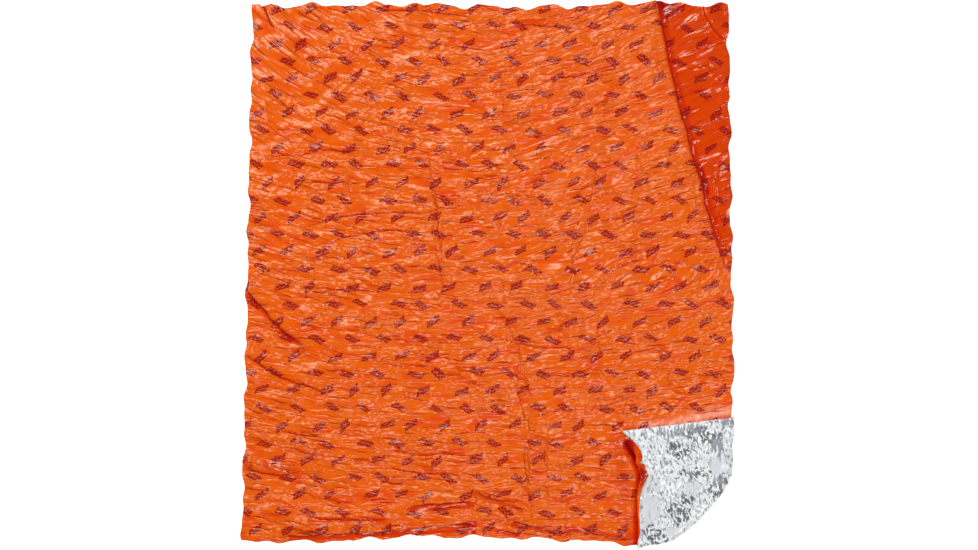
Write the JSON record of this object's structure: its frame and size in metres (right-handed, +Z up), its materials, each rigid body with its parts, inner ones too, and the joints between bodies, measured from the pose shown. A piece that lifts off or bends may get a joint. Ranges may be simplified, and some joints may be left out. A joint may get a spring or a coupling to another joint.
{
  "type": "emergency foil blanket",
  "caption": "Rectangular emergency blanket of printed orange film with a silver underside, lying crumpled on a surface with one corner turned over.",
  "frame": {"origin": "on the surface that the blanket lies on, under the middle of its bounding box", "axes": "+Z up, +Y along the longer side towards the edge away from the turned-over corner, +X across it towards the turned-over corner's side"},
  "size_m": [1.4828, 1.6446, 0.05],
  "materials": {
    "orange_film": "glossy printed orange film, finely crumpled, with small dark red hatch marks",
    "silver_film": "bright metallised film, finely crumpled"
  },
  "bodies": {
    "root": {"foil_blanket": "orange_film"}
  },
  "joints": []
}
